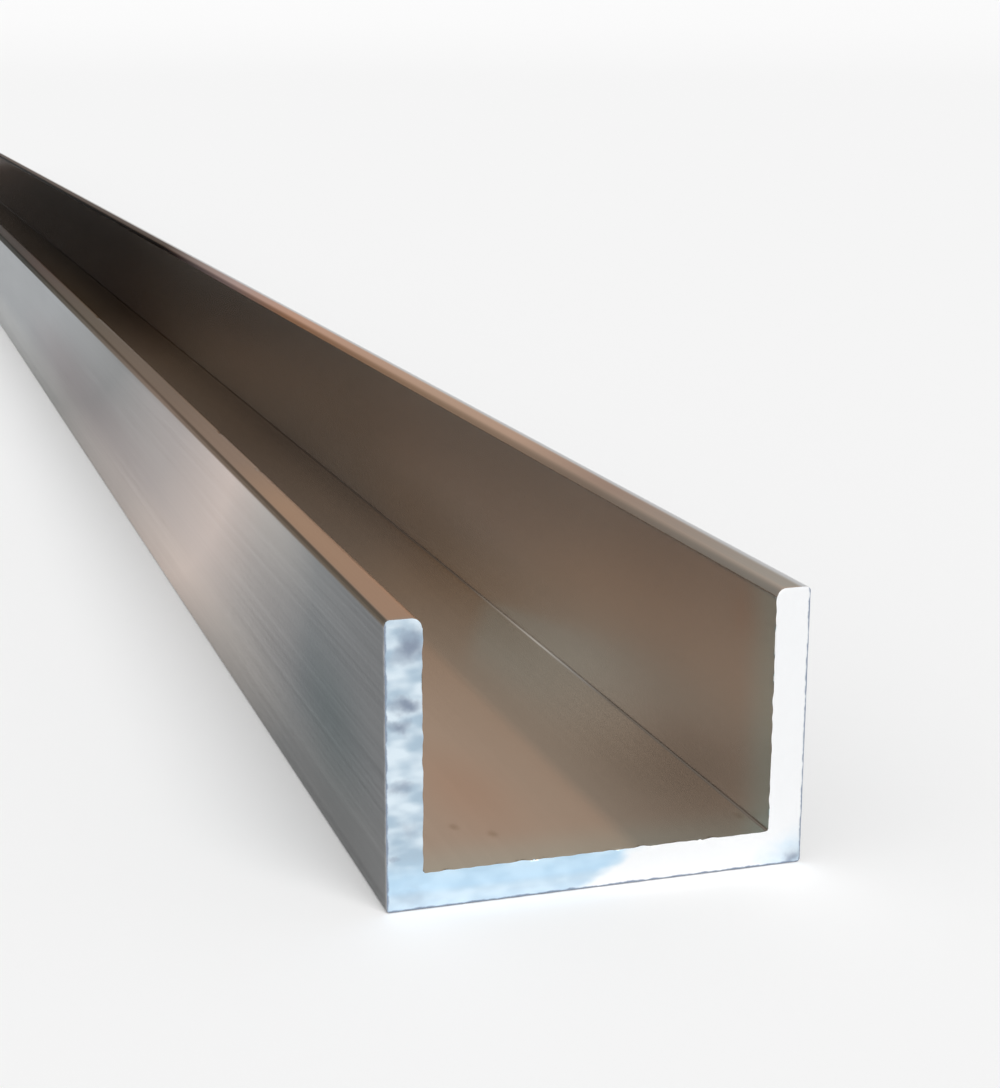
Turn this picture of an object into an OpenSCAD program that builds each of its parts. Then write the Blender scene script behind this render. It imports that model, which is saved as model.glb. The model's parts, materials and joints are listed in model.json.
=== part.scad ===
// Extruded aluminium channel, a sawn bar length of U-section stock.
// The bar lies on its web with its trough open upwards.
// Millimetres. X runs across the web, Y along the bar and Z up, from the middle of the web's back.

/* [Section] */
// Width over both flanges
channel_w = 38.1; // [16:0.1:120]
// Depth from the web's back to the flange tips
flange_h = 25.4; // [10:0.1:80]
// Thickness of the web
web_t = 3.2; // [1.2:0.1:6]
// Thickness of each flange
flange_t = 3.2; // [2.4:0.1:6]

/* [Corners] */
// Radius of the outside corner where the web turns into a flange
heel_r = 0.3; // [0.2:0.05:1]
// Radius of the fillet in each inside corner of the trough
root_r = 0.3; // [0.1:0.05:1.5]
// Radius of a flange tip on its outer side
tip_outer_r = 0.45; // [0.2:0.05:1.1]
// Radius of a flange tip on its trough side
tip_inner_r = 0.9; // [0.2:0.05:1.1]

/* [Bar] */
// Sawn length of the bar
bar_l = 1219.2; // [100:0.1:6100]

/* [Hidden] */
$fn = 64;
trough_w = channel_w - 2 * flange_t;

// The sliver between a square corner at the origin and the arc of radius r that rounds it
module corner_sliver(r) {
    difference() {
        square(r);
        translate([r, r]) circle(r);
    }
}

// Back of the channel, with its two heels rounded
module web_section() {
    difference() {
        translate([-channel_w / 2, 0]) square([channel_w, web_t]);
        for (side = [0, 1])
            mirror([side, 0]) translate([-channel_w / 2, 0]) corner_sliver(heel_r);
    }
}

// Left flange above the web, with both corners of its tip rounded
module flange_section() {
    translate([-channel_w / 2, web_t])
        difference() {
            square([flange_t, flange_h - web_t]);
            translate([0, flange_h - web_t]) mirror([0, 1]) corner_sliver(tip_outer_r);
            translate([flange_t, flange_h - web_t]) rotate(180) corner_sliver(tip_inner_r);
        }
}

// Fillet in the left inside corner of the trough
module root_section() {
    translate([-trough_w / 2, web_t]) corner_sliver(root_r);
}

// Whole section of the extrusion, as the die makes it
module channel_section() {
    web_section();
    for (side = [0, 1])
        mirror([side, 0]) {
            flange_section();
            root_section();
        }
}

// The sawn bar, centred on its length
module channel() {
    color("#b8b1aa")
        rotate([90, 0, 0])
            linear_extrude(height = bar_l, center = true) channel_section();
}

channel();
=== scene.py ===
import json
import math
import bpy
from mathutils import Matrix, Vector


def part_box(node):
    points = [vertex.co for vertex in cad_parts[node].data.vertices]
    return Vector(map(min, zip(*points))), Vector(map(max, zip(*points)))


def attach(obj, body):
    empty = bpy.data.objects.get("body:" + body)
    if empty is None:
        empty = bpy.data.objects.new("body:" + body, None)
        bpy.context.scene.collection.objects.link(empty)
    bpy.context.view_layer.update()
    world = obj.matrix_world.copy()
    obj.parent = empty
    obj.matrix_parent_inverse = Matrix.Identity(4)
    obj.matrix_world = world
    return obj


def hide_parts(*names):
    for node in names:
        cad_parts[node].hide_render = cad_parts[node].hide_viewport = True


bl_info = {
    "name": "Aluminium channel",
    "version": (1, 0, 0),
    "blender": (4, 5, 0),
    "location": "View3D > Sidebar > Channel",
    "description": "Models a sawn length of extruded aluminium channel and a plain studio for it",
    "category": "Object",
}

import bmesh
import bpy
from bpy.props import FloatProperty, FloatVectorProperty, PointerProperty
from mathutils import Euler, Matrix, Vector, noise

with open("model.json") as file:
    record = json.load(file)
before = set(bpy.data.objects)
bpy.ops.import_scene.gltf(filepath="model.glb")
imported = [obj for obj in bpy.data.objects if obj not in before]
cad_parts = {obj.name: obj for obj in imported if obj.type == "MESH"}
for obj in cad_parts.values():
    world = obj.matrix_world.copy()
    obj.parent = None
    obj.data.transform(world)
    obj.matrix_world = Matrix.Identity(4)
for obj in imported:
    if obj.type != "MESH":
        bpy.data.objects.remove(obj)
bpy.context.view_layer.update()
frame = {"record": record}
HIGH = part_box("channel")[1]
MM = 0.001
# Two places closer than this count as one.
NEARLY = 0.01 * MM
HALF_WIDTH = HIGH.x
HALF_LENGTH = HIGH.y
DEPTH = HIGH.z
WEB_INSIDE = next(mount for mount in frame["record"]["mounts"] if mount["name"] == "web_inside")
WALL = WEB_INSIDE["pos_m"][2]


def linear(hex_colour):
    """An sRGB hex colour such as "#a0a0a0" as linear light, with alpha 1."""
    parts = [int(hex_colour[i:i + 2], 16) / 255 for i in (1, 3, 5)]
    return tuple(c / 12.92 if c <= 0.04045 else ((c + 0.055) / 1.055) ** 2.4 for c in parts) + (1.0,)


def size(name, description, millimetres):
    """A length that a user can change, with its default in millimetres."""
    return FloatProperty(name=name, description=description, default=millimetres * MM,
                         min=0, precision=5, subtype="DISTANCE", unit="LENGTH")


def colour(name, description, hex_colour):
    """A colour that a user can change, with its default in sRGB hex."""
    return FloatVectorProperty(name=name, description=description, default=linear(hex_colour),
                               size=4, min=0, max=1, subtype="COLOR")


class ChannelSizes(bpy.types.PropertyGroup):
    wall: size("Wall", "Thickness of the web and of each flange", WALL / MM)
    heel_radius: size("Heel radius", "Outside corner where the web turns into a flange", 0.3)
    root_radius: size("Root radius", "Fillet in each inside corner of the trough", 0.3)
    tip_outer_radius: size("Tip outer radius", "Flange tip, on its outer side", 0.45)
    tip_inner_radius: size("Tip inner radius", "Flange tip, on its trough side", 0.9)
    saw_pitch: size("Saw mesh pitch", "Spacing of the vertices that carry the saw marks", 0.22)
    saw_zone: size("Saw zone", "Length of the bar's end that the saw's burr reaches", 0.7)
    saw_depth: size("Saw mark depth", "Depth of the marks that the blade left in the end", 0.12)
    burr: size("Burr", "How far the cut edge wanders in and out of line", 0.13)
    knock_depth: size("Knock depth", "Depth of the small knocks in the left flange's tip", 0.4)


class ChannelColours(bpy.types.PropertyGroup):
    outer: colour("Outside", "Outer faces and the web's back", "#c9cacb")
    # Painted light: the outer faces near the heels are painted lighter, some way in from the cut.
    heel_painted_light: colour("Outside, low", "Outer faces near the heels, polished by handling", "#dddcda")
    wall: colour("Trough walls", "Inner faces of the two flanges", "#efedea")
    wall_near: colour("Trough walls, near", "The walls a little way in from the sawn end", "#e2dedb")
    wall_rim: colour("Trough walls, rim", "The walls right beside the sawn end", "#def1f5")
    # The warm tone of the web and of the two tips is a painted reflection of warm surroundings.
    web: colour("Web", "Floor of the trough", "#d5bca7")
    web_rim: colour("Web, rim", "The web right beside the sawn end", "#d3c8b6")
    left_tip: colour("Left tip", "Tip of the left flange", "#cebfb3")
    right_tip: colour("Right tip", "Tip of the right flange", "#f2d8c4")
    # Painted highlight: the outer side of the right tip is painted white.
    rim_painted_highlight: colour("Right tip, rim", "Outer side of the right flange's tip", "#ffffff")
    # Painted shade: the right part of the web is tinted darker, up to a soft line along the bar.
    painted_shade: colour("Stain", "Tint of the duller metal in the right part of the web", "#e2ebf0")
    # Painted shade: the web near the right wall and the sawn end is tinted darker.
    corner: colour("Corner stain", "Tint of the web near the right wall and the sawn end", "#e7e4e2")
    # Painted shade: the web beside the walls, further in, is tinted darker, and so is its sheen.
    painted_corner_shade: colour("Dark corner", "Tint of the web beside the walls, further in", "#f0f2f5")
    # Painted shade: the right wall is tinted darker low down and some way in.
    wall_painted_shade: colour("Wall stain", "Tint of the right wall, low down and some way in", "#ece5dc")
    haze: colour("Haze", "The greyer part of the web near the right wall", "#bebcb2")
    blush: colour("Blush", "Tint of the warm cloud on the web", "#fff3ed")
    smudge: colour("Smudge", "Tint of the reddish smudge on the right wall", "#fef8f5")
    # Painted light: a lighter patch on the outer face near the cut, high up.
    outer_painted_light: colour("Outside, light patch", "Outer face near the sawn end, high up", "#e2e2e0")
    # Painted shade: a darker patch on the outer face near the cut, half way up.
    outer_painted_shade: colour("Outside, dim patch", "Tint of the outer face near the cut, half way up", "#ebf1f1")
    outer_rose: colour("Outside, rosy patch", "Tint of the outer face some way in, low down", "#f2e4e4")
    speck: colour("Specks", "Tint of the small dark specks on the web", "#e8e3dd")
    # Painted highlight: the right part of the sawn end is painted white.
    sawn_painted_highlight: colour("Sawn, white", "Cleanest metal of the sawn end", "#fcfdfe")
    sawn_bright: colour("Sawn, bright", "Clean metal of the sawn end", "#bbcfde")
    sawn_streak: colour("Sawn, streak", "Brightest streaks of the sawn end", "#e7f3fb")
    sawn_web: colour("Sawn, web", "The bluer left part of the web's sawn end", "#cfecff")
    sawn_grey: colour("Sawn, grey", "Smeared patches of the sawn end", "#98a4b6")


class StudioLevels(bpy.types.PropertyGroup):
    sky: FloatProperty(name="Sky level", description="Even light from all round", default=0.5, min=0)
    key: FloatProperty(name="Key level", description="Soft light from the front right", default=1.8, min=0)
    fill: FloatProperty(name="Fill level", description="Soft light from the left", default=0.25, min=0)


# The sheen is painted reflection and painted shade: the colour that the metal takes where it is seen along
# its length, with a painted band of light on the outer faces and painted shade deep in the trough.
# Each stop is a distance in millimetres from the nearer sawn end, and the colour there.
OUTER_PAINTED_SHEEN = ((0, "#2c2f31"), (30, "#5f6366"), (60, "#c4bab3"), (84, "#ffe9dd"), (125, "#d0c3bd"),
               (195, "#9d9d9c"), (300, "#bfc2c4"), (600, "#c4c8ca"))
WALL_PAINTED_SHEEN = ((0, "#ffffff"), (90, "#ffffff"), (120, "#f4efea"), (150, "#d7d2ca"), (200, "#cdc6be"),
              (250, "#c0b3a6"), (300, "#a99b8b"), (350, "#8b755f"), (400, "#684b34"), (450, "#4c2c14"),
              (600, "#3c230f"))
WEB_PAINTED_SHEEN = ((0, "#fff3e8"), (45, "#f3e6da"), (90, "#d0beb1"), (120, "#b4aaa6"), (200, "#938b88"),
             (300, "#a3988f"), (400, "#675b50"), (600, "#241e18"))
LEFT_TIP_PAINTED_SHEEN = ((0, "#f5c8a8"), (45, "#f0cbad"), (70, "#cdb6a6"), (120, "#aa9a8d"), (200, "#878074"),
                  (300, "#5a4844"), (350, "#2c2422"), (600, "#1c1816"))
RIGHT_TIP_PAINTED_SHEEN = ((0, "#c0d6dc"), (45, "#c4b5ae"), (75, "#f2dac9"), (110, "#f2d9c6"), (200, "#fed6c0"),
                   (255, "#e0cfd2"), (300, "#ada4a7"), (345, "#1c1917"), (600, "#131110"))
# The outer edge of the left tip is painted as a dark line of shade, and the inner edges have painted shade
# that deepens away from the cut.
OUTER_EDGE_PAINTED_SHADE = ((0, "#90887f"), (120, "#a89a90"), (200, "#8f8880"), (320, "#686660"), (600, "#5a5752"))
INNER_EDGE_PAINTED_SHADE = ((0, "#aca195"), (120, "#ae9580"), (200, "#94775f"), (300, "#5c524a"), (600, "#4a433d"))
# The fillet by the right wall is painted dark, with a painted gleam a little way in.
ROOT_PAINTED_GLEAM = ((0, "#9a9085"), (38, "#92887d"), (50, "#bab6b0"), (62, "#eeebe4"), (76, "#c8c0b6"),
             (90, "#90857b"), (150, "#82786e"), (600, "#5c534b"))
# The tones run in from both sawn ends, and this many times as fast from the far one.
FAR_PACE = 1.7
# How the painted band of light on the outer faces leans back with height, how the left tip's painted dark
# line widens away from the cut, and the slant of the line where the web's greyer part ends.
BAND_LEAN = 0.023 / MM
EDGE_WIDENING = 0.0027
GREY_SLANT = -2.4

# Lines drawn along the bar by the die: their size across and along it in millimetres, and their detail.
HAIRLINE = (0.3, 60, 2)
DIE_LINE = (0.9, 200, 3)
CLOUD = (9, 40, 2)
# Their contrast on the outer faces, and in the trough and on the tips, where the metal is smoother.
OUTER_CONTRAST = 0.13
SMOOTH_CONTRAST = 0.08
# Under 0.274 the render's noise filter takes the metal for a mirror, and it leaves a line on a flat face
# where the roughness passes that value. So the whole trough is under it and the rest is over it.
OUTER_ROUGHNESS = (0.335, 0.37)
SMOOTH_ROUGHNESS = {"trough": 0.265, "far_trough": 0.225, "tip": 0.277}

# Marks on the metal and patches of painted light and shade, each at (x, from the cut, z) in millimetres, with
# its reach along those axes.
# Painted light high up near the cut and painted shade half way up on the outer face; painted shade in the web
# by the right wall and low on that wall.
PAINTED_LIGHT_PATCH = ((-19.05, 37, 24.5), (3, 34, 10))
PAINTED_SHADE_PATCH = ((-19.05, 20, 11), (3, 20, 11))
ROSY_PATCH = ((-19.05, 225, 11), (3, 120, 11))
CORNER_PAINTED_SHADE = ((12, 16, 3.2), (12, 22, 8))
WALL_PAINTED_SHADE = ((15.85, 105, 6), (2, 60, 9))
WARM_CLOUD = ((-7, 18, 3.2), (7, 20, 2))
RED_SMUDGE = ((15.85, 6, 21.5), (2, 5, 4))
SPECKS = ((-7.6, 6.8, 3.2), (-10.4, 9.4, 3.2), (15.0, 4.4, 3.2))
SPECK_REACH = (0.7, 1.3, 2)
# How strongly the patch of painted light covers the metal under it.
PAINTED_LIGHT_STRENGTH = 0.6

# The sawn end's patterns: their sizes in millimetres, and how far off level a stroke lies in degrees.
STROKE_SIZE = (2.6, 1.3)
STROKE_LEAN = 20
GRAIN_SIZE = 0.3
RAGGED_SIZE = 0.9
DRIFT_SIZE = 1.7
# How far that drift pulls the smears' edges about, in millimetres.
DRIFT_PULL = 2.4
# The slope of the line from which the sawn end is painted white as a highlight, and how far the strokes push
# it about in millimetres.
HIGHLIGHT_SLOPE = -1.6
HIGHLIGHT_PUSH = 4
# The saw's smears and a grey patch at the bottom right corner: x, z, the reach across and up in millimetres,
# and the strength.
SMEARS = ((-17.0, 23.1, 1.9, 2.1, 1.0), (-18.3, 22.0, 1.2, 1.2, 0.4), (-17.3, 18.0, 2.2, 1.1, 1.0),
          (-17.8, 16.1, 1.7, 1.1, 0.9), (-17.6, 11.3, 1.9, 1.0, 0.6), (-17.0, 7.3, 1.4, 0.9, 0.3),
          (-18.3, 4.7, 1.0, 0.4, 0.5), (-17.0, 1.2, 2.6, 1.4, 0.25), (18.4, 0.5, 1.5, 1.3, 0.9))
# At the bottom right corner the painted white highlight is held back over this reach in millimetres.
CORNER_REACH = (6.0, 1, 3.6)
# The blade's coarse and fine marks and the ragged edge: their size in millimetres and their noise's seed.
COARSE_MARKS = (1.4, 3.0)
FINE_MARKS = (0.5, 9.0)
RAGGED_EDGE = (1.1, 20.0)
# Knocks in the inner edge of the left tip: how far from the cut, and half their length, in millimetres.
KNOCKS = ((64, 1.0), (89, 1.6), (207, 2.2))
# Each knock is cut across at these shares of its half length.
KNOCK_CUTS = (-1, -0.6, -0.2, 0.2, 0.6, 1)
# The faces that meet at more than this many degrees have a sharp edge between them.
SHARP_ANGLE = 38

# The floor's outline as (radius, height) in metres.
FLOOR_OUTLINE = ((0, 0), (12, 0), (15, 0.1), (18, 0.4), (20, 0.8))
# Azimuth, elevation and softness of each light, in degrees.
KEY_LIGHT = (8, 50, 40)
FILL_LIGHT = (-60, 40, 60)
# The photograph's viewpoint, in millimetres from the middle of the web's back at the sawn end, its angles
# in degrees, and the lens that it was fitted with.
CAMERA_PLACE = (-58.82, -152.08, 69.26)
CAMERA_TURN = -18.05
CAMERA_DOWN = 13.42
CAMERA_ROLL = 0.28
CAMERA_LENS = 66.8


def add_node(tree, kind, inputs=None, out=0, **settings):
    """Adds a node with its settings, sets or links its inputs, and returns one of its outputs."""
    node = tree.nodes.new("ShaderNode" + kind)
    for name, value in settings.items():
        setattr(node, name, value)
    for name, value in (inputs or {}).items():
        if isinstance(value, bpy.types.NodeSocket):
            tree.links.new(value, node.inputs[name])
        else:
            node.inputs[name].default_value = value
    return node.outputs[out] if node.outputs else None


def empty_material(name):
    """A new material and its node tree, with no nodes in it yet."""
    material = bpy.data.materials.new(name)
    material.use_nodes = True
    material.node_tree.nodes.clear()
    return material, material.node_tree


def patch(tree, place, centre, reach):
    """A soft patch that is 1 at its centre and fades to 0 at its reach, both (x, y, z) in millimetres."""
    away = add_node(tree, "VectorMath", {0: place, 1: [c * MM for c in centre]}, operation="SUBTRACT")
    share = add_node(tree, "VectorMath", {0: away, 1: [r * MM for r in reach]}, operation="DIVIDE")
    distance = add_node(tree, "VectorMath", {0: share}, 1, operation="LENGTH")
    return add_node(tree, "MapRange", {"Value": distance, "From Min": 1.0, "From Max": 0.0},
                    interpolation_type="SMOOTHSTEP")


def tone_along(tree, distance, stops):
    """The colour at a distance from the cut, through stops of (millimetres, colour)."""
    reach = stops[-1][0]
    place = add_node(tree, "MapRange", {"Value": distance, "From Max": reach * MM})
    ramp = add_node(tree, "ValToRGB", {"Fac": place})
    elements = ramp.node.color_ramp.elements
    elements[0].color = linear(stops[0][1])
    elements[1].color = linear(stops[-1][1])
    for at, tone in stops[1:-1]:
        elements.new(at / reach).color = linear(tone)
    return ramp


def drawn_lines(tree, position, across, along, detail):
    """Noise drawn out along the bar, in the way the die's lands mark it. Its two sizes are in millimetres."""
    stretched = add_node(tree, "Mapping", {
        "Vector": position, "Scale": (1 / (across * MM), 1 / (along * MM), 1 / (across * MM))})
    return add_node(tree, "TexNoise", {"Vector": stretched, "Scale": 1.0, "Detail": detail})


def bar_zones(tree, sizes, x, z, from_cut):
    """Masks from 0 to 1 for the faces, edges and stretches that differ in finish."""
    aside = add_node(tree, "Math", {0: x}, operation="ABSOLUTE")
    inner = HALF_WIDTH - sizes.wall
    outer_r, inner_r, root_r = sizes.tip_outer_radius, sizes.tip_inner_radius, sizes.root_radius
    # The painted dark line along the left tip's outer edge widens away from the cut.
    edge_height = add_node(tree, "Math", {0: from_cut, 1: EDGE_WIDENING, 2: z}, operation="MULTIPLY_ADD")
    # The right part of the web has painted shade, up to a soft line along the bar. A little way in it is also
    # greyer, and that ends at a slanting line.
    slanting = add_node(tree, "Math", {0: x, 1: GREY_SLANT, 2: from_cut}, operation="MULTIPLY_ADD")
    # Each step's value, where it is 0 and where it is 1.
    limits = {
        "above_back": (z, 0.3 * sizes.wall, 0.7 * sizes.wall),
        "within": (aside, HALF_WIDTH - 0.2 * sizes.wall, HALF_WIDTH - 0.6 * sizes.wall),
        "low": (z, sizes.wall + 0.9 * root_r, sizes.wall),
        "high": (z, DEPTH - inner_r, DEPTH - 0.7 * inner_r),
        "on_top": (aside, HALF_WIDTH - 0.1 * outer_r, HALF_WIDTH - 0.5 * outer_r),
        "right": (x, -MM, MM),
        "far_right": (x, HALF_WIDTH - 1.2 * MM, HALF_WIDTH - 0.6 * MM),
        "fillet_side": (x, inner - root_r, inner - 0.7 * root_r),
        "fillet_low": (z, sizes.wall + 0.9 * root_r, sizes.wall + 0.5 * root_r),
        "outer_side": (x, -HALF_WIDTH + 0.9 * outer_r, -HALF_WIDTH + 0.4 * outer_r),
        "outer_top": (edge_height, DEPTH - 0.75 * MM, DEPTH - 0.35 * MM),
        "inner_side": (aside, inner + 0.9 * inner_r, inner + 0.15 * inner_r),
        "inner_top": (z, DEPTH - inner_r, DEPTH - 0.7 * inner_r),
        "far": (from_cut, 250 * MM, 420 * MM),
        "by_wall": (aside, inner - 7 * MM, inner),
        "past_gleam": (from_cut, 75 * MM, 150 * MM),
        "near_heel": (z, 0.45 * DEPTH, 0.15 * DEPTH),
        "further_in": (from_cut, -60 * MM, 95 * MM),
        "by_cut": (from_cut, 8 * MM, 0.0),
        "near_cut": (from_cut, 50 * MM, 20 * MM),
        "right_part": (x, 2.2 * MM, 4.4 * MM),
        "grey_side": (x, 2.5 * MM, 11 * MM),
        "grey_start": (from_cut, 22 * MM, 60 * MM),
        "grey_end": (slanting, 49 * MM, 40 * MM),
    }
    steps = {name: add_node(tree, "MapRange", {"Value": value, "From Min": none, "From Max": full},
                            interpolation_type="SMOOTHSTEP")
             for name, (value, none, full) in limits.items()}
    # Each zone is where all of its steps meet.
    zones = {}
    # Some zones carry painted light and shade: shade beside the walls further in and in the web's right part,
    # a highlight on the right tip's outer side, and light low on the outer faces.
    for name, parts in {
            "trough": ("above_back", "within"), "far_trough": ("above_back", "within", "far"),
            "web": ("above_back", "within", "low"),
            "root": ("above_back", "within", "fillet_low", "fillet_side"),
            "corner": ("above_back", "within", "low", "by_wall", "past_gleam"),
            "tip": ("high", "on_top"), "right_tip": ("high", "on_top", "right"),
            "right_rim": ("high", "far_right"), "outer_edge": ("outer_side", "outer_top"),
            "inner_edge": ("inner_side", "inner_top"), "painted_light_low": ("near_heel", "further_in"),
            "rim": ("by_cut",), "near": ("near_cut",), "shadier": ("right_part",),
            "greyer": ("grey_side", "grey_start", "grey_end")}.items():
        mask = steps[parts[0]]
        for part in parts[1:]:
            mask = add_node(tree, "Math", {0: mask, 1: steps[part]}, operation="MULTIPLY")
        zones[name] = mask
    return zones


def painted_sheen(tree, zones, place, from_cut, z, colours):
    """Painted reflection and painted shade: what the metal shows where it is seen along its length."""
    # The painted band of reflected light on the outer faces leans back towards the top, more so further from
    # the cut.
    lean = add_node(tree, "Math", {0: z, 1: BAND_LEAN, 2: 1 - BAND_LEAN * DEPTH / 2},
                    operation="MULTIPLY_ADD")
    leaning = add_node(tree, "Math", {0: from_cut, 1: lean}, operation="MULTIPLY")
    sheen = tone_along(tree, leaning, OUTER_PAINTED_SHEEN)
    sheen = add_node(tree, "Mix", {0: patch(tree, place, *ROSY_PATCH), 6: sheen, 7: colours.outer_rose}, 2,
                     data_type="RGBA", blend_type="MULTIPLY")
    for zone, stops in (("trough", WALL_PAINTED_SHEEN), ("web", WEB_PAINTED_SHEEN), ("tip", LEFT_TIP_PAINTED_SHEEN),
                        ("right_tip", RIGHT_TIP_PAINTED_SHEEN), ("outer_edge", OUTER_EDGE_PAINTED_SHADE)):
        sheen = add_node(tree, "Mix", {0: zones[zone], 6: sheen, 7: tone_along(tree, from_cut, stops)}, 2,
                         data_type="RGBA")
    # Painted shade on the web beside the walls, further in.
    sheen = add_node(tree, "Mix", {0: zones["corner"], 6: sheen, 7: colours.painted_corner_shade}, 2,
                     data_type="RGBA", blend_type="MULTIPLY")
    # A painted white highlight along the outer side of the right tip.
    return add_node(tree, "Mix", {0: zones["right_rim"], 6: sheen, 7: colours.rim_painted_highlight}, 2,
                    data_type="RGBA")


def mill_base(tree, zones, place, from_cut, colours):
    """What the metal shows where it is seen squarely, with the marks on it and patches of painted light and
    shade.
    """
    wall = colours.wall
    for zone, tone in (("near", colours.wall_near), ("rim", colours.wall_rim)):
        wall = add_node(tree, "Mix", {0: zones[zone], 6: wall, 7: tone}, 2, data_type="RGBA")
    # The web's warm tone is a painted reflection of warm surroundings.
    web = add_node(tree, "Mix", {0: zones["rim"], 6: colours.web, 7: colours.web_rim}, 2, data_type="RGBA")
    # The right part of the web is darkened with painted shade.
    web_marks = [(zones["shadier"], colours.painted_shade), (patch(tree, place, *WARM_CLOUD), colours.blush)]
    web_marks += [(patch(tree, place, speck, SPECK_REACH), colours.speck) for speck in SPECKS]
    for mask, tint in web_marks:
        web = add_node(tree, "Mix", {0: mask, 6: web, 7: tint}, 2, data_type="RGBA", blend_type="MULTIPLY")
    web = add_node(tree, "Mix", {0: zones["greyer"], 6: web, 7: colours.haze}, 2, data_type="RGBA")
    # Painted light lifts the outer faces near the heels, some way in from the cut.
    base = add_node(tree, "Mix", {0: zones["painted_light_low"], 6: colours.outer, 7: colours.heel_painted_light}, 2,
                    data_type="RGBA")
    # A patch of painted light on the outer face near the cut, high up.
    light = add_node(tree, "Math", {0: patch(tree, place, *PAINTED_LIGHT_PATCH), 1: PAINTED_LIGHT_STRENGTH},
                     operation="MULTIPLY")
    base = add_node(tree, "Mix", {0: light, 6: base, 7: colours.outer_painted_light}, 2, data_type="RGBA")
    # A patch of painted shade on the outer face near the cut, half way up.
    base = add_node(tree, "Mix", {0: patch(tree, place, *PAINTED_SHADE_PATCH), 6: base, 7: colours.outer_painted_shade}, 2,
                    data_type="RGBA", blend_type="MULTIPLY")
    # Over these go the painted shade and gleam of the root, the painted shade of the edges and the painted
    # highlight on the right tip's outer side.
    for mask, tone in ((zones["trough"], wall), (zones["web"], web),
                       (zones["root"], tone_along(tree, from_cut, ROOT_PAINTED_GLEAM)),
                       (zones["tip"], colours.left_tip), (zones["right_tip"], colours.right_tip),
                       (zones["outer_edge"], tone_along(tree, from_cut, OUTER_EDGE_PAINTED_SHADE)),
                       (zones["inner_edge"], tone_along(tree, from_cut, INNER_EDGE_PAINTED_SHADE)),
                       (zones["right_rim"], colours.rim_painted_highlight)):
        base = add_node(tree, "Mix", {0: mask, 6: base, 7: tone}, 2, data_type="RGBA")
    # Painted shade in the web near the right wall and the cut, beside the walls further in, and low on the
    # right wall; the reddish smudge is a mark on the metal.
    for mask, tint in ((patch(tree, place, *CORNER_PAINTED_SHADE), colours.corner),
                       (zones["corner"], colours.painted_corner_shade),
                       (patch(tree, place, *WALL_PAINTED_SHADE), colours.wall_painted_shade),
                       (patch(tree, place, *RED_SMUDGE), colours.smudge)):
        base = add_node(tree, "Mix", {0: mask, 6: base, 7: tint}, 2, data_type="RGBA", blend_type="MULTIPLY")
    return base


def mill_finish_and_painted_sheen(sizes, colours):
    """Aluminium as it left the die: satin, with fine lines drawn along the bar and a painted sheen of tinted
    reflection and shade.
    """
    material, tree = empty_material("mill_finish_and_painted_sheen")
    position = add_node(tree, "TexCoord", out="Object")
    x, y, z = add_node(tree, "SeparateXYZ", {"Vector": position}).node.outputs
    from_near = add_node(tree, "Math", {0: y, 1: HALF_LENGTH}, operation="ADD")
    from_far = add_node(tree, "Math", {0: y, 1: -FAR_PACE, 2: FAR_PACE * HALF_LENGTH},
                        operation="MULTIPLY_ADD")
    from_cut = add_node(tree, "Math", {0: from_near, 1: from_far}, operation="MINIMUM")
    zones = bar_zones(tree, sizes, x, z, from_cut)
    place = add_node(tree, "CombineXYZ", {"X": x, "Y": from_cut, "Z": z})
    sheen = painted_sheen(tree, zones, place, from_cut, z, colours)
    base = mill_base(tree, zones, place, from_cut, colours)

    # Real die lines are some hundredths of a millimetre wide, so these are drawn coarser to show.
    hairline = drawn_lines(tree, position, *HAIRLINE)
    die_line = drawn_lines(tree, position, *DIE_LINE)
    cloud = drawn_lines(tree, position, *CLOUD)
    lines = add_node(tree, "Math", {0: die_line, 1: 0.45, 2: hairline}, operation="MULTIPLY_ADD")
    worn = add_node(tree, "Math", {0: cloud, 1: 0.45, 2: lines}, operation="MULTIPLY_ADD")
    smooth = add_node(tree, "Math", {0: zones["trough"], 1: zones["tip"]}, operation="MAXIMUM")
    contrast = add_node(tree, "MapRange", {
        "Value": smooth, "To Min": OUTER_CONTRAST, "To Max": SMOOTH_CONTRAST})
    uneven = add_node(tree, "Math", {0: worn, 1: 0.95}, operation="SUBTRACT")
    shade = add_node(tree, "Math", {0: uneven, 1: contrast, 2: 1.0}, operation="MULTIPLY_ADD")
    shaded_base = add_node(tree, "VectorMath", {"Vector": base, "Scale": shade}, operation="SCALE")
    shaded_sheen = add_node(tree, "VectorMath", {"Vector": sheen, "Scale": shade}, operation="SCALE")
    rough = add_node(tree, "MapRange", {
        "Value": lines, "From Min": 0.5, "From Max": 1.0,
        "To Min": OUTER_ROUGHNESS[0], "To Max": OUTER_ROUGHNESS[1]})
    for zone, level in SMOOTH_ROUGHNESS.items():
        rough = add_node(tree, "Mix", {0: zones[zone], 2: rough, 3: level}, data_type="FLOAT")
    grip = add_node(tree, "MapRange", {"Value": smooth, "To Min": 0.2, "To Max": 0.0})
    relief = add_node(tree, "Bump", {"Strength": grip, "Distance": 0.01 * MM, "Height": lines})

    surface = add_node(tree, "BsdfPrincipled", {
        "Base Color": shaded_base, "Metallic": 1.0, "Roughness": rough, "Normal": relief,
        "Specular Tint": shaded_sheen})
    add_node(tree, "OutputMaterial", {"Surface": surface})
    return material


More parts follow.
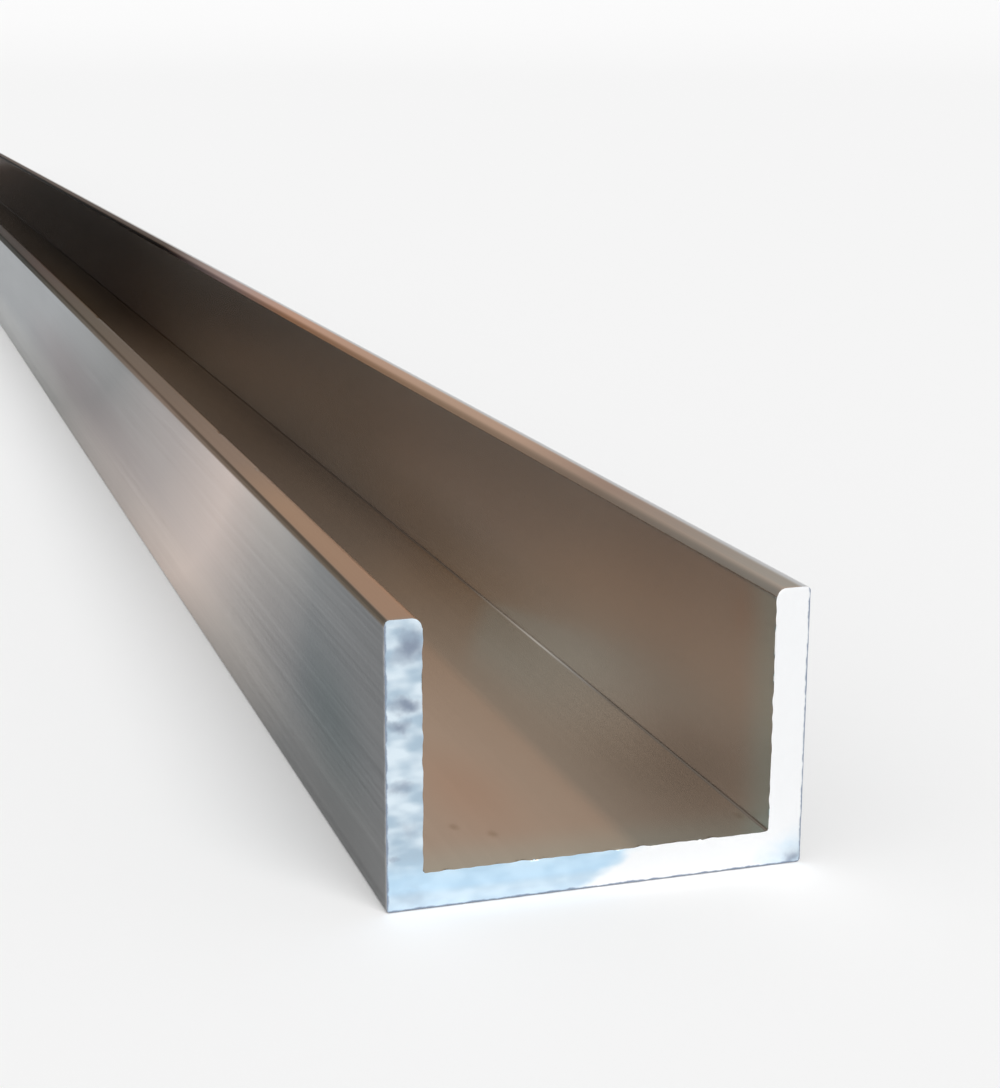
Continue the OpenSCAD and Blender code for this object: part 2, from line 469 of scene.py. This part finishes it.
def sawn_aluminium(colours):
    """Bare metal that a saw has just cut: bright and rough, bluish to the left, with greyer smears and a
    painted white highlight to the right.
    """
    material, tree = empty_material("sawn_aluminium")
    position = add_node(tree, "TexCoord", out="Object")
    x, _, z = add_node(tree, "SeparateXYZ", {"Vector": position}).node.outputs
    aside = add_node(tree, "Math", {0: x}, operation="ABSOLUTE")
    # The blade's strokes lie a little off level.
    stroke_length, stroke_height = STROKE_SIZE
    strokes = add_node(tree, "Mapping", {
        "Vector": position, "Rotation": (0, math.radians(STROKE_LEAN), 0),
        "Scale": (1 / (stroke_length * MM), 1, 1 / (stroke_height * MM))})
    stroke = add_node(tree, "TexNoise", {"Vector": strokes, "Scale": 1.0, "Detail": 1.5, "Roughness": 0.45})
    grain = add_node(tree, "TexNoise", {"Vector": position, "Scale": 1 / (GRAIN_SIZE * MM), "Detail": 3.0})
    ragged = add_node(tree, "TexNoise", {"Vector": position, "Scale": 1 / (RAGGED_SIZE * MM), "Detail": 2.0})
    drift = add_node(tree, "TexNoise", {"Vector": position, "Scale": 1 / (DRIFT_SIZE * MM), "Detail": 3.0})
    streak = add_node(tree, "MapRange", {"Value": stroke, "From Min": 0.34, "From Max": 0.7},
                      interpolation_type="SMOOTHSTEP")
    tone = add_node(tree, "Mix", {0: streak, 6: colours.sawn_bright, 7: colours.sawn_streak}, 2,
                    data_type="RGBA")
    # The web's end is bluer than the flange's, apart from a paler strip along its foot.
    low = add_node(tree, "MapRange", {"Value": z, "From Min": 5 * MM, "From Max": 2.4 * MM, "To Max": 0.7},
                   interpolation_type="SMOOTHSTEP")
    strip = add_node(tree, "MapRange", {"Value": z, "From Min": 1.9 * MM, "From Max": 0.9 * MM,
                                        "To Max": 0.4}, interpolation_type="SMOOTHSTEP")
    low = add_node(tree, "Math", {0: low, 1: strip}, operation="SUBTRACT")
    tone = add_node(tree, "Mix", {0: low, 6: tone, 7: colours.sawn_web}, 2, data_type="RGBA")
    tone = add_node(tree, "Mix", {0: strip, 6: tone, 7: colours.sawn_streak}, 2, data_type="RGBA")

    # Each smear's edge is pulled about by the noise.
    pull = add_node(tree, "VectorMath", {0: drift.node.outputs["Color"], 1: (0.5, 0.5, 0.5)},
                    operation="SUBTRACT")
    pulled = add_node(tree, "VectorMath", {0: pull, 1: [DRIFT_PULL * MM] * 3, 2: position},
                      operation="MULTIPLY_ADD")
    flat = add_node(tree, "VectorMath", {0: pulled, 1: (1.0, 0.0, 1.0)}, operation="MULTIPLY")
    for at, height, across, up, strength in SMEARS:
        mask = patch(tree, flat, (at, 0, height), (across, 1, up))
        mask = add_node(tree, "Math", {0: mask, 1: strength}, operation="MULTIPLY")
        tone = add_node(tree, "Mix", {0: mask, 6: tone, 7: colours.sawn_grey}, 2, data_type="RGBA")

    # Past the middle the sawn end is painted white as a highlight, from a line that slopes across the web.
    height = add_node(tree, "Math", {0: z, 1: WALL}, operation="MINIMUM")
    sloped = add_node(tree, "Math", {0: height, 1: HIGHLIGHT_SLOPE, 2: x}, operation="MULTIPLY_ADD")
    shifted = add_node(tree, "Math", {0: stroke, 1: HIGHLIGHT_PUSH * MM, 2: sloped}, operation="MULTIPLY_ADD")
    painted_white = add_node(tree, "MapRange", {"Value": shifted, "From Min": -1.5 * MM, "From Max": 1.5 * MM},
                     interpolation_type="SMOOTHSTEP")
    corner = patch(tree, flat, (HALF_WIDTH / MM, 0, 0), CORNER_REACH)
    painted_white = add_node(tree, "Math", {0: painted_white, 1: corner}, operation="SUBTRACT", use_clamp=True)
    tone = add_node(tree, "Mix", {0: painted_white, 6: tone, 7: colours.sawn_painted_highlight}, 2, data_type="RGBA")

    # A thin grey line of painted shade follows the outline, where the blade dragged the edge over and it
    # turns from the light.
    side_gap = add_node(tree, "Math", {0: HALF_WIDTH, 1: aside}, operation="SUBTRACT")
    gap = add_node(tree, "Math", {0: side_gap, 1: z}, operation="MINIMUM")
    uneven = add_node(tree, "Math", {0: ragged, 1: -0.35 * MM, 2: gap}, operation="MULTIPLY_ADD")
    painted_edge_shade = add_node(tree, "MapRange", {"Value": uneven, "From Min": 0.05 * MM, "From Max": -0.1 * MM},
                    interpolation_type="SMOOTHSTEP")
    tone = add_node(tree, "Mix", {0: painted_edge_shade, 6: tone, 7: colours.sawn_grey}, 2, data_type="RGBA")

    relief = add_node(tree, "Bump", {"Strength": 0.3, "Distance": 0.04 * MM, "Height": grain})
    surface = add_node(tree, "BsdfPrincipled", {
        "Base Color": tone, "Metallic": 1.0, "Roughness": 0.6, "Normal": relief})
    add_node(tree, "OutputMaterial", {"Surface": surface})
    return material


def square_bar(bm, wall):
    """The channel with square corners: its U outline drawn at one end and extruded to the other."""
    inner = HALF_WIDTH - wall
    outline = ((-HALF_WIDTH, 0), (HALF_WIDTH, 0), (HALF_WIDTH, DEPTH), (inner, DEPTH),
               (inner, wall), (-inner, wall), (-inner, DEPTH), (-HALF_WIDTH, DEPTH))
    end = bm.faces.new([bm.verts.new((x, -HALF_LENGTH, z)) for x, z in outline])
    grown = bmesh.ops.extrude_face_region(bm, geom=[end])["geom"]
    corners = [item for item in grown if isinstance(item, bmesh.types.BMVert)]
    bmesh.ops.translate(bm, verts=corners, vec=(0, 2 * HALF_LENGTH, 0))
    bmesh.ops.recalc_face_normals(bm, faces=bm.faces)


def round_long_edges(bm, x, z, radius, segments):
    """Rounds the two long edges that run at x either side of the middle and at height z."""
    def runs_here(edge):
        return all(abs(abs(v.co.x) - x) < NEARLY and abs(v.co.z - z) < NEARLY for v in edge.verts)

    edges = [e for e in bm.edges if runs_here(e) and abs(e.verts[0].co.y - e.verts[1].co.y) > HALF_LENGTH]
    bmesh.ops.bevel(bm, geom=edges, offset=radius, offset_type="OFFSET", segments=segments,
                    profile=0.5, affect="EDGES", material=-1, clamp_overlap=False)


def slice_across(bm, faces, axis, places):
    """Cuts the given faces by a row of planes square to an axis."""
    direction = Vector([float(i == axis) for i in range(3)])
    for place in places:
        geom = set(faces())
        geom |= {e for f in geom for e in f.edges} | {v for f in geom for v in f.verts}
        bmesh.ops.bisect_plane(bm, geom=list(geom), dist=0.001 * MM,
                               plane_co=direction * place, plane_no=direction)


def spread(low, high, pitch):
    """Places between two limits, evenly apart and no further than the pitch."""
    count = math.ceil((high - low) / pitch)
    return [low + (high - low) * i / count for i in range(1, count)]


def mesh_the_saw_zone(bm, end, sizes):
    """Cuts one end of the bar into a fine grid, out to the depth that the saw's burr reaches."""
    inner_limit = HALF_LENGTH - sizes.saw_zone

    def all_faces():
        return bm.faces

    def end_faces():
        return [f for f in bm.faces if all(v.co.y * end > inner_limit - NEARLY for v in f.verts)]

    slice_across(bm, all_faces, 1, [end * inner_limit, end * (HALF_LENGTH - 0.25 * sizes.saw_zone)])
    slice_across(bm, end_faces, 0, spread(-HALF_WIDTH, HALF_WIDTH, sizes.saw_pitch))
    slice_across(bm, end_faces, 2, spread(0, DEPTH, sizes.saw_pitch))


def wander(x, z, end, marks):
    """Smooth noise from -1 to 1 over one sawn face, for marks of (millimetres, seed)."""
    wavelength, seed = marks[0] * MM, marks[1]
    return noise.noise(Vector((x / wavelength, z / wavelength, seed + end)))


def mark_the_cut(bm, end, sizes):
    """Sinks the blade's marks into the sawn face, and lets its edge wander as a burr does."""
    face_at = end * HALF_LENGTH
    cut = [v for v in bm.verts if abs(v.co.y - face_at) < NEARLY]
    edge = {v for v in cut if any(abs(f.normal.y) < 0.5 for f in v.link_faces)}
    outwards = {}
    for v in edge:
        outward = sum((f.normal for f in v.link_faces if abs(f.normal.y) < 0.5), Vector())
        outward.y = 0
        outwards[v] = outward.normalized()
    for v in cut:
        x, z = v.co.x, v.co.z
        coarse = wander(x, z, end, COARSE_MARKS)
        fine = wander(x, z, end, FINE_MARKS)
        sink = sizes.saw_depth * (0.5 + 0.35 * coarse + 0.15 * fine)
        if v in edge:
            sink += 0.25 * sizes.saw_depth
            below_tip = z < DEPTH - sizes.tip_inner_radius
            into_trough = abs(x) < HALF_WIDTH - 0.6 * sizes.wall and z > 0.6 * sizes.wall and below_tip
            ragged = wander(x, z, end, RAGGED_EDGE)
            shift = sizes.burr * (ragged if into_trough else 0.15 * (ragged - 1))
            v.co += outwards[v] * shift
        v.co.y -= end * max(sink, 0)


def knock_the_tip(bm, sizes):
    """Small knocks in the rounded inner edge of the left flange's tip, near the first end."""
    centre = Vector((-HALF_WIDTH + sizes.wall - sizes.tip_inner_radius, 0, DEPTH - sizes.tip_inner_radius))

    def inside_arc(v):
        return v.co.x > centre.x - NEARLY and v.co.x < 0 and v.co.z > centre.z - NEARLY

    def arc_faces():
        return [f for f in bm.faces if all(inside_arc(v) for v in f.verts)]

    for from_cut, half in KNOCKS:
        middle = -HALF_LENGTH + from_cut * MM
        slice_across(bm, arc_faces, 1, [middle + share * half * MM for share in KNOCK_CUTS])
        for v in bm.verts:
            share = (v.co.y - middle) / (half * MM)
            inwards = Vector((centre.x - v.co.x, 0, centre.z - v.co.z))
            if abs(share) < 0.99 and inside_arc(v) and min(-inwards.x, -inwards.z) > 0.05 * MM:
                v.co += inwards.normalized() * sizes.knock_depth * (1 - share ** 2)


class CHANNEL_OT_bar(bpy.types.Operator):
    """Models the sawn length of channel with its finish"""
    bl_idname = "channel.bar"
    bl_label = "Channel bar"

    def execute(self, context):
        sizes, colours = context.scene.channel_sizes, context.scene.channel_colours
        inner = HALF_WIDTH - sizes.wall
        bm = bmesh.new()
        square_bar(bm, sizes.wall)
        round_long_edges(bm, HALF_WIDTH, 0, sizes.heel_radius, segments=5)
        round_long_edges(bm, inner, sizes.wall, sizes.root_radius, segments=4)
        round_long_edges(bm, HALF_WIDTH, DEPTH, sizes.tip_outer_radius, segments=6)
        round_long_edges(bm, inner, DEPTH, sizes.tip_inner_radius, segments=8)
        for end in (-1, 1):
            mesh_the_saw_zone(bm, end, sizes)
            bm.normal_update()
            mark_the_cut(bm, end, sizes)
        knock_the_tip(bm, sizes)
        bm.normal_update()
        for face in bm.faces:
            face.smooth = True
            face.material_index = int(abs(face.normal.y) > 0.6)
        mesh = bpy.data.meshes.new("channel_bar")
        bm.to_mesh(mesh)
        bm.free()
        mesh.set_sharp_from_angle(angle=math.radians(SHARP_ANGLE))
        mesh.materials.append(mill_finish_and_painted_sheen(sizes, colours))
        mesh.materials.append(sawn_aluminium(colours))
        bar = bpy.data.objects.new("channel_bar", mesh)
        context.scene.collection.objects.link(bar)
        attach(bar, "root")
        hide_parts("channel")
        return {"FINISHED"}


def studio_floor():
    """A pale floor that lies flat under the bar and rises a little at its far rim."""
    bm = bmesh.new()
    # It is a hair's breadth under the web's back, so that the two don't share a plane.
    hair = 0.05 * MM
    points = [bm.verts.new((r, 0, h - hair)) for r, h in FLOOR_OUTLINE]
    edges = [bm.edges.new(pair) for pair in zip(points, points[1:])]
    bmesh.ops.spin(bm, geom=points + edges, cent=(0, 0, 0), axis=(0, 0, 1), angle=math.tau,
                   steps=96, use_merge=True)
    bmesh.ops.remove_doubles(bm, verts=bm.verts, dist=0.001)
    bmesh.ops.recalc_face_normals(bm, faces=bm.faces)
    if sum(f.normal.z for f in bm.faces) < 0:
        bmesh.ops.reverse_faces(bm, faces=bm.faces)
    mesh = bpy.data.meshes.new("studio_floor")
    bm.to_mesh(mesh)
    bm.free()
    mesh.shade_smooth()
    material, tree = empty_material("matt_white_floor")
    add_node(tree, "OutputMaterial", {
        "Surface": add_node(tree, "BsdfDiffuse", {"Color": linear("#f6f6f6")})})
    mesh.materials.append(material)
    floor = bpy.data.objects.new("studio_floor", mesh)
    bpy.context.scene.collection.objects.link(floor)


def soft_sun(name, level, azimuth, elevation, softness):
    """A broad soft light from an azimuth in degrees, where 0 is straight off the near end of the bar."""
    lamp = bpy.data.lights.new(name, "SUN")
    lamp.energy = level
    lamp.angle = math.radians(softness)
    sun = bpy.data.objects.new(name, lamp)
    sun.rotation_euler = Euler((math.radians(90 - elevation), 0, math.radians(azimuth)), "XYZ")
    bpy.context.scene.collection.objects.link(sun)


def studio_camera():
    """The photograph's viewpoint, close to the sawn end, a little above the bar and to its left."""
    data = bpy.data.cameras.new("photo_camera")
    data.lens = CAMERA_LENS
    data.sensor_width = 36
    data.clip_start = 0.01
    camera = bpy.data.objects.new("photo_camera", data)
    x, y, z = [distance * MM for distance in CAMERA_PLACE]
    place = Matrix.Translation((x, y - HALF_LENGTH, z))
    turn = Matrix.Rotation(math.radians(CAMERA_TURN), 4, "Z")
    tilt = Matrix.Rotation(math.radians(90 - CAMERA_DOWN), 4, "X")
    roll = Matrix.Rotation(math.radians(CAMERA_ROLL), 4, "Z")
    camera.matrix_world = place @ turn @ tilt @ roll
    bpy.context.scene.collection.objects.link(camera)
    bpy.context.scene.camera = camera


class CHANNEL_OT_stage(bpy.types.Operator):
    """Sets up the pale floor, the soft lights and the camera"""
    bl_idname = "channel.stage"
    bl_label = "Studio"

    def execute(self, context):
        levels = context.scene.studio_levels
        studio_floor()
        soft_sun("key_light", levels.key, *KEY_LIGHT)
        soft_sun("fill_light", levels.fill, *FILL_LIGHT)
        world = bpy.data.worlds.new("studio")
        world.use_nodes = True
        world.node_tree.nodes.clear()
        add_node(world.node_tree, "OutputWorld", {"Surface": add_node(
            world.node_tree, "Background", {"Color": linear("#ffffff"), "Strength": levels.sky})})
        context.scene.world = world
        context.scene.view_settings.view_transform = "Standard"
        studio_camera()
        return {"FINISHED"}


class CHANNEL_PT_panel(bpy.types.Panel):
    """Lists the steps and their settings in the 3D view's sidebar"""
    bl_idname = "CHANNEL_PT_panel"
    bl_label = "Aluminium channel"
    bl_space_type = "VIEW_3D"
    bl_region_type = "UI"
    bl_category = "Channel"

    def draw(self, context):
        layout = self.layout
        for operator in (CHANNEL_OT_bar, CHANNEL_OT_stage):
            layout.operator(operator.bl_idname)
        scene = context.scene
        for owner in (scene.channel_sizes, scene.channel_colours, scene.studio_levels):
            box = layout.box()
            for name in owner.__annotations__:
                box.prop(owner, name)


CLASSES = (ChannelSizes, ChannelColours, StudioLevels, CHANNEL_OT_bar, CHANNEL_OT_stage, CHANNEL_PT_panel)


def register():
    for item in CLASSES:
        bpy.utils.register_class(item)
    bpy.types.Scene.channel_sizes = PointerProperty(type=ChannelSizes)
    bpy.types.Scene.channel_colours = PointerProperty(type=ChannelColours)
    bpy.types.Scene.studio_levels = PointerProperty(type=StudioLevels)


def unregister():
    del bpy.types.Scene.studio_levels
    del bpy.types.Scene.channel_colours
    del bpy.types.Scene.channel_sizes
    for item in reversed(CLASSES):
        bpy.utils.unregister_class(item)


def main():
    register()
    bpy.ops.channel.bar()
    bpy.ops.channel.stage()


if __name__ == "__main__":
    main()
